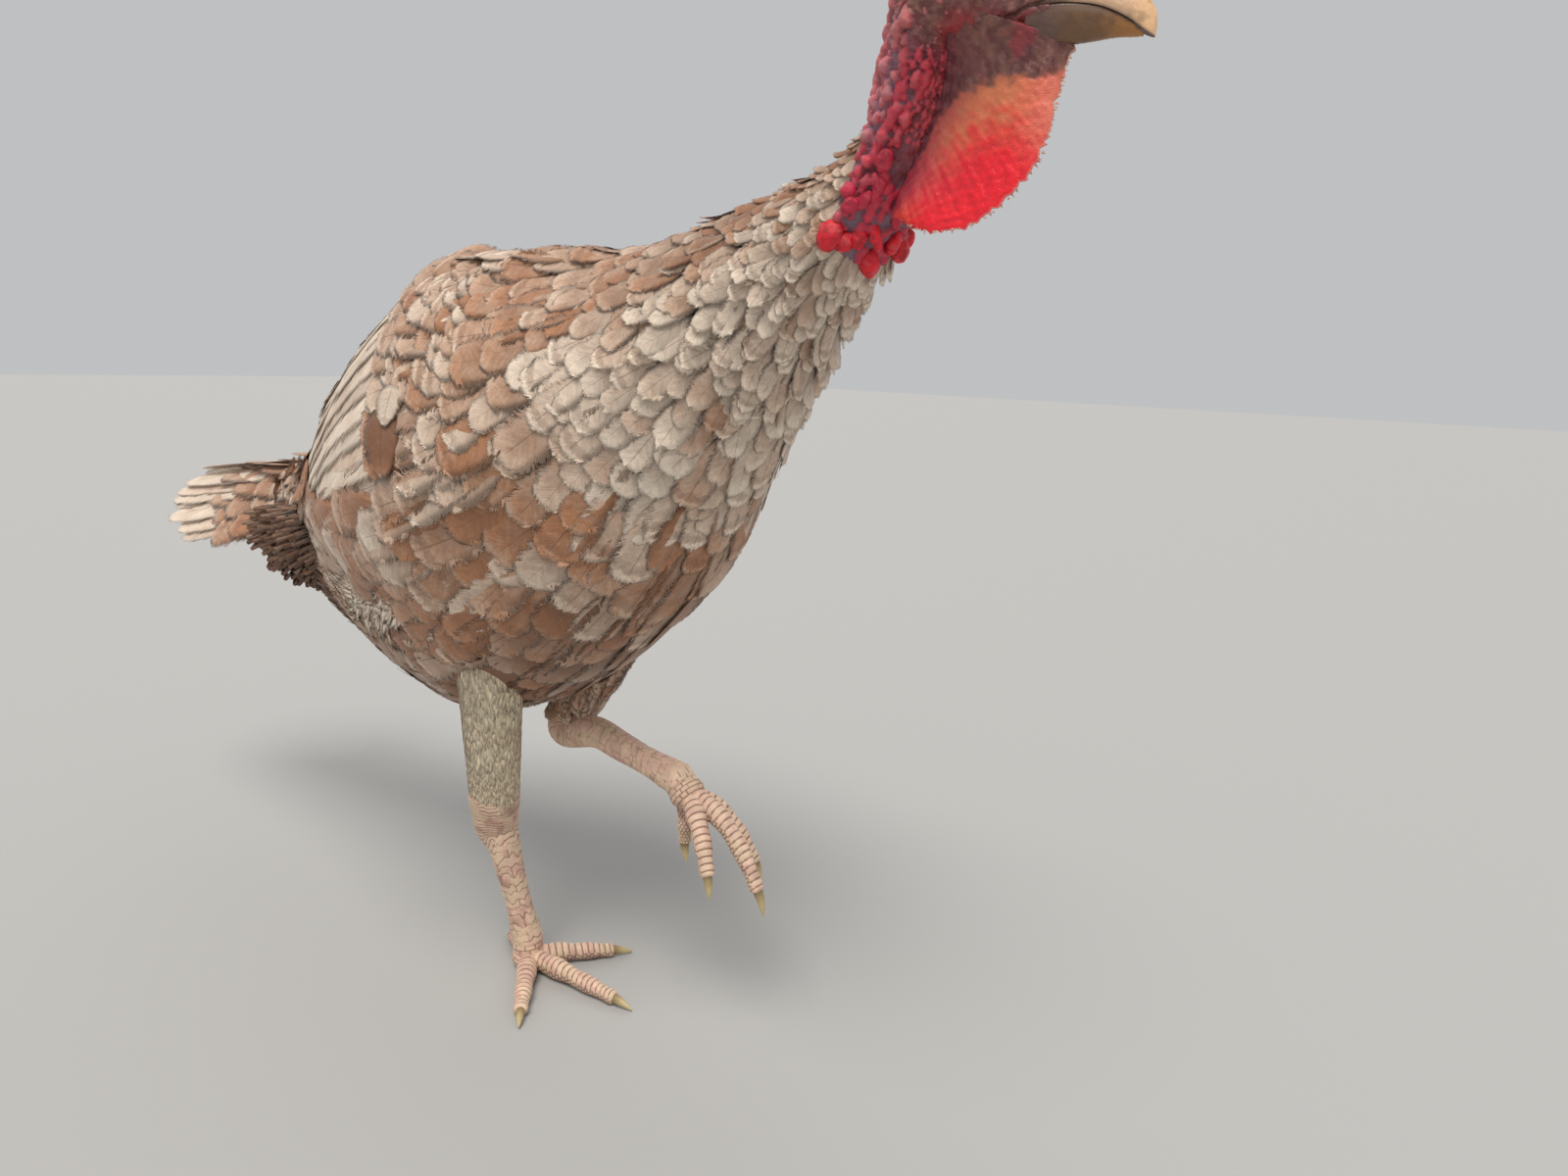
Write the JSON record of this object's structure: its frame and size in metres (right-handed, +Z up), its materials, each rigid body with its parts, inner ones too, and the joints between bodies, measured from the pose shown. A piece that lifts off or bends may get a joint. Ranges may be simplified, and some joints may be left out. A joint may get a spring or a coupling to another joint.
{
  "type": "domestic turkey",
  "caption": "Life-size still model of a walking domestic turkey, with a bare warty neck, a red dewlap, folded wings and one foot lifted.",
  "frame": {"origin": "on the floor, at the middle of the flat sole under the pad of the standing right foot", "axes": "+X towards the bird's front, +Y to its left, +Z up"},
  "size_m": [0.974, 0.2644, 0.6337],
  "materials": {
    "buff_feathers": "overlapping buff and cream body feathers, matte with a faint sheen",
    "cream_feathers": "cream feathers with greyish-brown bases, matte",
    "wing_feathers": "cream flight feathers under tan coverts, matte with a faint sheen",
    "tail_feathers": "cream tail feathers with tan coverts, matte with a faint sheen",
    "bare_skin": "bare pink-red warty skin, soft satin",
    "head_skin": "wrinkled grey-mauve to reddish-brown skin, soft satin",
    "snood_skin": "wrinkled red skin, soft satin",
    "dewlap_skin": "bright red folded skin with orange streaks, soft satin",
    "scaled_skin": "pale pinkish-cream scaled skin, satin",
    "horn": "cream to brown horn, satin",
    "claw_horn": "yellowish horn, satin",
    "eye": "dark brown eye, glossy"
  },
  "bodies": {
    "root": {"torso": "buff_feathers", "neck_lower": "cream_feathers", "tail": "tail_feathers", "wing_left": "wing_feathers", "wing_right": "wing_feathers", "thigh_left": "cream_feathers", "thigh_right": "cream_feathers", "neck_upper": "bare_skin", "head": "head_skin", "snood": "snood_skin", "dewlap": "dewlap_skin", "shank_left": "scaled_skin", "shank_right": "scaled_skin", "foot_left": "scaled_skin", "foot_right": "scaled_skin", "beak_upper": "horn", "beak_lower": "horn", "claw_left_middle": "claw_horn", "claw_left_inner": "claw_horn", "claw_left_outer": "claw_horn", "claw_left_hallux": "claw_horn", "claw_right_middle": "claw_horn", "claw_right_inner": "claw_horn", "claw_right_outer": "claw_horn", "claw_right_hallux": "claw_horn", "eye_left": "eye", "eye_right": "eye"}
  },
  "joints": []
}
